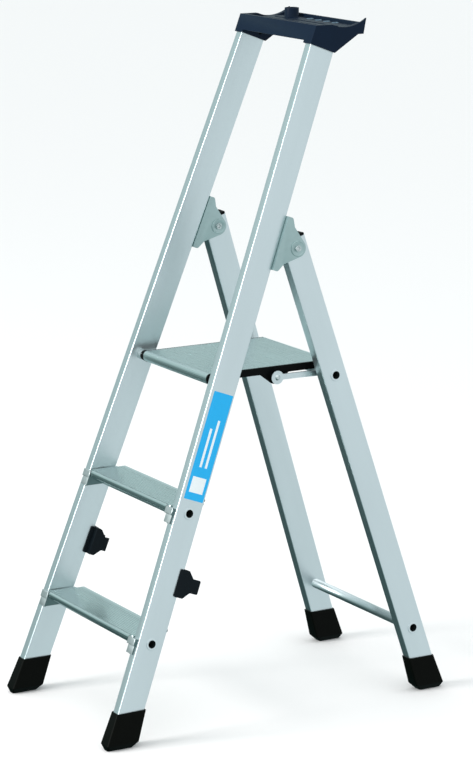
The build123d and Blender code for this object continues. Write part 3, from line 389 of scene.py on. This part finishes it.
class LADDER_OT_platform(bpy.types.Operator):
    """Finish the platform's deck, its dark side bands, and the bushes and pins it turns on"""
    bl_idname = "ladder.platform"
    bl_label = "Platform"

    def bush(self, node, collar, spacer):
        """A bush with a black collar at the platform and a metal spacer at the stile."""
        bm = welded_copy(node, 0)
        low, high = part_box(node)
        inner = min(abs(low[0]), abs(high[0])) + COLLAR_L
        side = 1 if low[0] > 0 else -1
        bmesh.ops.bisect_plane(bm, geom=bm.verts[:] + bm.edges[:] + bm.faces[:],
                               plane_co=(side * inner, 0, 0), plane_no=(1, 0, 0))
        for face in bm.faces:
            face.material_index = int(abs(face.calc_center_median().x) > inner)
        add_piece(bm, node + "_finish", "front_frame", [collar, spacer], "black_plastic", node)

    def execute(self, context):
        colours, sizes = context.scene.ladder_colours, context.scene.ladder_sizes
        ribbed = anodised_aluminium("extruded aluminium deck", colours.tread, (1, 0, 0), 0.28)
        black = moulded_plastic("black moulded polyamide", colours.black, 0.45, 0.06)
        zinc = worked_metal("zinc-plated steel pivots", colours.steel, 0.32)
        refine("platform_deck", ribbed, "tread_aluminium")
        for side in ("left", "right"):
            refine(f"platform_side_{side}", black, "black_plastic", sizes.sheet_edge)
            self.bush(f"platform_bush_{side}", black, zinc)
            refine(f"platform_pin_{side}", zinc, "zinc_steel")
        return {"FINISHED"}


class LADDER_OT_tubes(bpy.types.Operator):
    """Finish the cross tubes, near-black in their bores as painted shade and bright at their spread ends"""
    bl_idname = "ladder.tubes"
    bl_label = "Cross tubes"

    def execute(self, context):
        colours = context.scene.ladder_colours
        drawn = anodised_aluminium("drawn aluminium tube", colours.profile, (1, 0, 0), 0.29)
        # The bores' near-black colour is painted shade deep inside the tubes.
        bore = moulded_plastic("painted shade in the tube bores", linear("#222B2B"), 0.7, 0.1)
        for node in ("tread_tube_lower", "tread_tube_upper", "cross_tube_upper", "cross_tube_lower"):
            bm = bmesh.new()
            bm.from_mesh(frame["nodes"][node].data)
            bmesh.ops.remove_doubles(bm, verts=bm.verts, dist=WELD)
            low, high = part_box(node)
            axis = (Vector(low) + Vector(high)) / 2
            for face in bm.faces:
                out = face.calc_center_median() - axis
                out.x = 0
                # Faces that face inwards, into the bore, take the painted shade.
                if face.normal.dot(out.normalized()) < -0.7:
                    face.material_index = 1
            add_piece(bm, node + "_finish", body_of(node), [drawn, bore], "tube_aluminium", node)
        return {"FINISHED"}


class LADDER_OT_hinges(bpy.types.Operator):
    """Finish the hinge brackets and turn their dished washers and hollow rivet heads"""
    bl_idname = "ladder.hinges"
    bl_label = "Hinges"

    def execute(self, context):
        colours, sizes = context.scene.ladder_colours, context.scene.ladder_sizes
        sheet = worked_metal("pressed aluminium sheet", colours.sheet, 0.36)
        zinc = worked_metal("zinc-plated steel hinge rivets", colours.steel, 0.26)
        black = moulded_plastic("black moulded end caps", colours.black, 0.45, 0.06)
        # Radius and height of each corner of a washer's and a rivet head's profile, in mm.
        dish = ((5.3, 0.5), (9.6, 0.5), (10.4, 0.9), (12.4, 0.9), (13.1, 1.4), (14.2, 1.4), (14.8, 1.0),
                (15.0, 0.4), (15.0, 0.0), (5.3, 0.0), (5.3, 0.5))
        head = ((0.0, 0.9), (2.4, 0.9), (3.0, 1.8), (3.8, 3.2), (4.8, 3.6), (5.9, 3.1), (6.4, 2.0),
                (6.5, 0.5))
        rings, heads = [], []
        for low_x, high_x in ((-1, -LEG_MIDDLE), (-LEG_MIDDLE, 0), (0, LEG_MIDDLE), (LEG_MIDDLE, 1)):
            centre = part_centre("hinge_washers", low_x, high_x)
            outward = 1 if centre.x > 0 else -1
            lean = Vector((outward, tan(LEG_SPLAY) * sin(STILE_LEAN), tan(LEG_SPLAY) * cos(STILE_LEAN)))
            way = lean.normalized() * (1 if abs(centre.x) > LEG_MIDDLE else -1)
            seat = centre - way * WASHER_T / 2
            rings.append(turned([(r * MM, h * MM) for r, h in dish], seat, way, sizes.steps))
            heads.append(turned([(r * MM, h * MM) for r, h in head], seat, way, sizes.steps))
        add_piece(joined(rings), "hinge_washers_dished", "front_frame", [sheet], "zinc_steel",
                  "hinge_washers")
        add_piece(joined(heads), "hinge_rivet_heads", "front_frame", [zinc], "zinc_steel",
                  "hinge_pin_left", "hinge_pin_right")
        for side in ("left", "right"):
            refine(f"hinge_bracket_{side}", sheet, "sheet_aluminium", sizes.sheet_edge)
            refine(f"leg_plug_{side}", black, "black_plastic", sizes.sheet_edge)
        refine("hinge_bracket_rivets", zinc, "zinc_steel")
        refine("hinge_bushes", black, "black_plastic")
        return {"FINISHED"}


class LADDER_OT_links(bpy.types.Operator):
    """Finish the platform's links and collars, and turn their round heads"""
    bl_idname = "ladder.links"
    bl_label = "Platform links"

    def execute(self, context):
        colours, sizes = context.scene.ladder_colours, context.scene.ladder_sizes
        bar = worked_metal("rolled aluminium bar", colours.profile, 0.28)
        zinc = worked_metal("zinc-plated steel link rivets", colours.steel, 0.24)
        black = moulded_plastic("black moulded collars", colours.black, 0.45, 0.06)
        for side in ("left", "right"):
            refine(f"link_{side}", bar, "sheet_aluminium", sizes.sheet_edge)
        refine("link_washers", bar, "zinc_steel")
        refine("link_rivets", zinc, "zinc_steel")
        refine("link_collars", black, "black_plastic")
        return {"FINISHED"}


class LADDER_OT_tray(bpy.types.Operator):
    """Mould the tool tray: its sunk deck, ridges, cup ring and rimmed tool holes"""
    bl_idname = "ladder.tray"
    bl_label = "Tool tray"

    def execute(self, context):
        colours, sizes = context.scene.ladder_colours, context.scene.ladder_sizes
        navy = moulded_plastic("navy moulded polypropylene", colours.navy, 0.4, 0.08)
        # The screws are darkened as painted shade, so that they sink into the shade of the tray's socket.
        dark = worked_metal("steel screws darkened as painted shade", linear("#15191C"), 0.5)
        # The hole rims are paled as painted highlight on their lips.
        pale = moulded_plastic("navy polypropylene paled as painted highlight", linear("#6C8494"), 0.4, 0.15)
        low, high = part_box("tool_tray")
        front, rear = low[1], high[1] - 2.4 * MM
        cup = opening_centre("tray_cup")
        deck = high[2] - 18.2 * MM
        # Radius and height of each corner of a hole rim's and the cup ring's profile, in mm.
        rim = ((5.6, 0.0), (5.6, 0.8), (5.8, 1.1), (6.4, 1.1), (6.7, 0.8), (6.8, 0.0), (5.6, 0.0))
        ring = ((10.3, 16.9), (10.8, 17.9), (12.2, 18.1), (13.4, 17.9), (13.8, 17.2), (13.9, 1.6),
                (15.2, 0.4), (15.2, 0.0), (10.3, 0.0), (10.3, 16.9))
        moulding = welded_copy("tool_tray", sizes.plastic_edge)
        # The cup's flat top is let down a millimetre, so that the rounded ring stands over it.
        cup_top = [v for v in moulding.verts if v.co.z > high[2] - 0.2 * MM]
        bmesh.ops.translate(moulding, vec=(0, 0, -MM), verts=cup_top)
        parts = [moulding]
        parts.append(turned([(r * MM, h * MM) for r, h in ring], (cup.x, cup.y, deck), (0, 0, 1),
                            sizes.steps))
        for i in range(1, 5):
            hole = opening_centre(f"tool_hole_{i}")
            rim_highlight = turned([(r * MM, h * MM) for r, h in rim], (hole.x, hole.y, deck), (0, 0, 1), 32)
            # Each rim takes the paled material as painted highlight.
            for face in rim_highlight.faces:
                face.material_index = 1
            parts.append(rim_highlight)
        # Each ridge lies at a share of the deck's depth from its front.
        for share in (0.24, 0.42, 0.6):
            y = front + share * (rear - front)
            parts.append(slab((0.006, y, deck), (1, 0, 0), (0, 1, 0), (0, 0, 1), high[0] * 1.62, sizes.ridge,
                              1.2 * MM))
        add_piece(joined(parts), "tool_tray_finish", "front_frame", [navy, pale], "navy_plastic",
                  "tool_tray")
        refine("tray_screws", dark, "zinc_steel")
        return {"FINISHED"}


class LADDER_OT_clips(bpy.types.Operator):
    """Mould the transport clips"""
    bl_idname = "ladder.clips"
    bl_label = "Transport clips"

    def execute(self, context):
        colours, sizes = context.scene.ladder_colours, context.scene.ladder_sizes
        plastic = moulded_plastic("dark moulded polyamide clips", colours.clip, 0.4, 0.08)
        for side in ("left", "right"):
            refine(f"transport_clip_{side}", plastic, "navy_plastic", sizes.plastic_edge)
        return {"FINISHED"}


class LADDER_OT_boots(bpy.types.Operator):
    """Mould the four rubber boots"""
    bl_idname = "ladder.boots"
    bl_label = "Boots"

    def execute(self, context):
        colours, sizes = context.scene.ladder_colours, context.scene.ladder_sizes
        rubber = moulded_rubber("moulded black rubber", colours.rubber)
        for node in ("front_boot_left", "front_boot_right", "rear_boot_left", "rear_boot_right"):
            refine(node, rubber, "black_rubber", sizes.boot_edge)
        return {"FINISHED"}


class LADDER_OT_label(bpy.types.Operator):
    """Lay the blue label and its plain white square and bars"""
    bl_idname = "ladder.label"
    bl_label = "Label"

    def execute(self, context):
        colours = context.scene.ladder_colours
        film = printed_film("blue vinyl film", colours.film)
        ink = printed_film("white screen print", colours.ink)
        refine("side_label", film, "blue_film")
        low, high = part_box("side_label")
        middle = (Vector(low) + Vector(high)) / 2
        normal = Vector((1, tan(STILE_SPLAY) * sin(STILE_LEAN), tan(STILE_SPLAY) * cos(STILE_LEAN)))
        normal.normalize()
        depth = Vector((0, cos(STILE_LEAN), -sin(STILE_LEAN)))
        along = normal.cross(depth)
        prints = []
        # Place along and across the label, length and width of the square and each bar, in mm.
        for up, out, length, width in ((-74, 0, 30, 30), (6, 6.5, 92, 5), (-3, -5.5, 74, 5)):
            place = middle + normal * 0.15 * MM + along * up * MM + depth * out * MM
            prints.append(slab(place, depth, along, normal, width * MM, length * MM, 0.12 * MM))
        add_piece(joined(prints), "label_print", "front_frame", [ink], "blue_film")
        return {"FINISHED"}


class LADDER_OT_stage(bpy.types.Operator):
    """Set the pale floor, the soft studio light and the camera"""
    bl_idname = "ladder.stage"
    bl_label = "Floor, light and camera"

    def execute(self, context):
        scene = context.scene
        bm = bmesh.new()
        bmesh.ops.create_grid(bm, x_segments=1, y_segments=1, size=40)
        mesh = bpy.data.meshes.new("studio_floor")
        bm.to_mesh(mesh)
        bm.free()
        floor = bpy.data.objects.new("studio_floor", mesh)
        scene.collection.objects.link(floor)
        floor.location.z = -0.2 * MM
        floor.visible_glossy = False
        paint, tree, _ = blank_material("pale studio floor")
        shader = add_node(tree, "BsdfPrincipled", {"Base Color": linear("#F1EDEB"), "Roughness": 0.9,
                                                   "Specular IOR Level": 0.0})
        add_node(tree, "OutputMaterial", {"Surface": shader.outputs["BSDF"]})
        mesh.materials.append(paint)

        # The sky is a soft gradient that the metals mirror: dark low at the front left, pale high up.
        world = bpy.data.worlds.new("studio")
        scene.world = world
        world.use_nodes = True
        tree = world.node_tree
        tree.nodes.clear()
        way = add_node(tree, "TexCoord", {})
        height = add_node(tree, "VectorMath", {0: way.outputs["Generated"], 1: (0.6, 0.35, 1.0)},
                          operation="DOT_PRODUCT")
        spread = add_node(tree, "MapRange", {"Value": height.outputs["Value"], "From Min": -1.2,
                                             "From Max": 1.2})
        ramp = add_node(tree, "ValToRGB", {"Fac": spread.outputs["Result"]})
        stops = ramp.color_ramp.elements
        stops[0].position, stops[0].color = 0.08, (0.03, 0.07, 0.07, 1)
        stops[1].position, stops[1].color = 0.7, (0.80, 0.87, 0.90, 1)
        for position, colour in ((0.28, (0.36, 0.49, 0.49, 1)), (0.45, (0.57, 0.70, 0.71, 1))):
            stop = stops.new(position)
            stop.color = colour
        sky = add_node(tree, "Background", {"Color": ramp.outputs["Color"], "Strength": 1.0})
        add_node(tree, "OutputWorld", {"Surface": sky.outputs["Background"]})

        sun = bpy.data.lights.new("overhead softbox", "SUN")
        sun.energy = 0.9
        sun.angle = radians(100)
        overhead = bpy.data.objects.new("overhead softbox", sun)
        overhead.rotation_euler = (radians(12), radians(8), 0)
        scene.collection.objects.link(overhead)

        panel = bpy.data.lights.new("front softbox", "AREA")
        panel.energy = 150
        panel.size = 1.6
        front = bpy.data.objects.new("front softbox", panel)
        front.location = (-0.6, -4.2, 2.1)
        front.rotation_euler = (Vector((0, 0, 0.8)) - front.location).to_track_quat("-Z", "Y").to_euler()
        scene.collection.objects.link(front)

        lens = bpy.data.cameras.new("camera")
        lens.lens = 140.15
        lens.sensor_width = 36
        camera = bpy.data.objects.new("camera", lens)
        camera.location = (4.8477, -2.8214, 1.8524)
        camera.rotation_euler = (radians(90 - 12.443), 0, radians(59.605))
        scene.collection.objects.link(camera)
        scene.camera = camera
        scene.view_settings.view_transform = "Standard"
        return {"FINISHED"}


class LADDER_PT_pieces(bpy.types.Panel):
    """The ladder's settings and pieces"""
    bl_label = "Step ladder"
    bl_space_type = "VIEW_3D"
    bl_region_type = "UI"
    bl_category = "Ladder"

    def draw(self, context):
        for group in (context.scene.ladder_colours, context.scene.ladder_sizes):
            for name in group.__annotations__:
                self.layout.prop(group, name)
        for operator in OPERATORS:
            self.layout.operator(operator.bl_idname)


OPERATORS = (LADDER_OT_profiles, LADDER_OT_treads, LADDER_OT_platform, LADDER_OT_tubes, LADDER_OT_hinges,
             LADDER_OT_links, LADDER_OT_tray, LADDER_OT_clips, LADDER_OT_boots, LADDER_OT_label,
             LADDER_OT_stage)
CLASSES = (LadderColours, LadderSizes) + OPERATORS + (LADDER_PT_pieces,)


def register():
    for item in CLASSES:
        bpy.utils.register_class(item)
    bpy.types.Scene.ladder_colours = PointerProperty(type=LadderColours)
    bpy.types.Scene.ladder_sizes = PointerProperty(type=LadderSizes)


def unregister():
    del bpy.types.Scene.ladder_sizes
    del bpy.types.Scene.ladder_colours
    for item in reversed(CLASSES):
        bpy.utils.unregister_class(item)


def main():
    register()
    bpy.ops.ladder.profiles()
    bpy.ops.ladder.treads()
    bpy.ops.ladder.platform()
    bpy.ops.ladder.tubes()
    bpy.ops.ladder.hinges()
    bpy.ops.ladder.links()
    bpy.ops.ladder.tray()
    bpy.ops.ladder.clips()
    bpy.ops.ladder.boots()
    bpy.ops.ladder.label()
    bpy.ops.ladder.stage()


if __name__ == "__main__":
    main()
